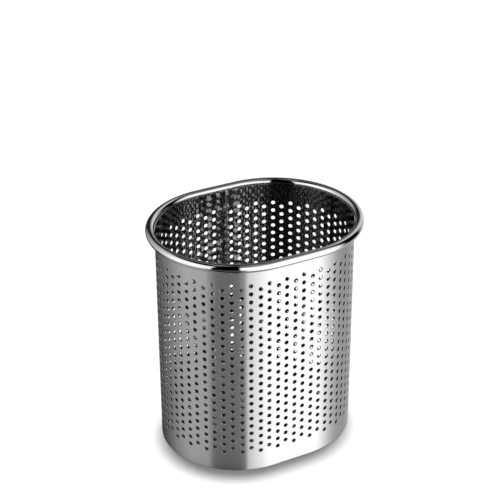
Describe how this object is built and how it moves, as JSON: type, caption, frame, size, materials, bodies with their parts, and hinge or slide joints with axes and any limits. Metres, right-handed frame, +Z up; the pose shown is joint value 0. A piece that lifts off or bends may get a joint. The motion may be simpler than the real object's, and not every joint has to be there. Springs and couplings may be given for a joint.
{
  "type": "utensil drying rack",
  "caption": "Free-standing oval cup of perforated stainless sheet with a polished round-bar rim and a raised drain base, for standing wet cutlery in to dry.",
  "frame": {"origin": "centre of the oval footprint, on the plane that the wall's bottom edge stands on", "axes": "+X along the long way of the oval, -Y towards the front (the side away from the lap seam), +Z up"},
  "size_m": [0.1248, 0.1006, 0.135],
  "materials": {
    "wall_satin_steel": "satin outside, bright inside",
    "rim_polished_steel": "mirror polished",
    "base_bright_steel": "bright, lightly scratched"
  },
  "bodies": {
    "root": {"wall_sheet": "wall_satin_steel", "rim_ring": "rim_polished_steel", "base_pan": "base_bright_steel"}
  },
  "joints": []
}
